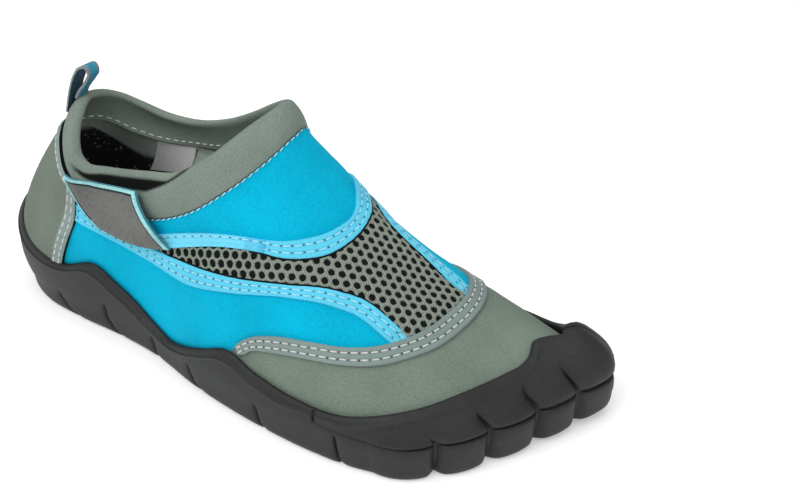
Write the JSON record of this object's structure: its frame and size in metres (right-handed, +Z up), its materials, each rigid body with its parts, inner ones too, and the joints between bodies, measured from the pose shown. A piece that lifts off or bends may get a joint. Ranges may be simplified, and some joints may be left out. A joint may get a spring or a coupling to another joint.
{
  "type": "barefoot shoe",
  "caption": "Right barefoot water shoe: black rubber cup sole with toe lobes, blue and grey neoprene upper, mesh vamp, pull loop.",
  "frame": {"origin": "on the floor under the middle of the shoe's bounding box", "axes": "+X from the heel to the toes, +Y to the inner (big toe) side, +Z up from the floor"},
  "size_m": [0.275, 0.1025, 0.1072],
  "materials": {
    "upper_neoprene": "matte blue neoprene with a grey mesh vamp and toe panel",
    "grey_neoprene": "matte knitted face",
    "pale_trim": "smooth sewn tape",
    "sole_rubber": "matte moulded",
    "footbed_foam": "dark knitted lining over foam",
    "badge_rubber": "satin moulded, aqua rim",
    "loop_webbing": "woven tape"
  },
  "bodies": {
    "root": {"outsole": "sole_rubber", "insole": "footbed_foam", "upper": "upper_neoprene", "collar": "grey_neoprene", "heel_panel": "grey_neoprene", "lateral_strip": "pale_trim", "medial_strip": "pale_trim", "throat_trim": "pale_trim", "toe_binding": "grey_neoprene", "side_patch": "badge_rubber", "pull_loop": "loop_webbing"}
  },
  "joints": []
}
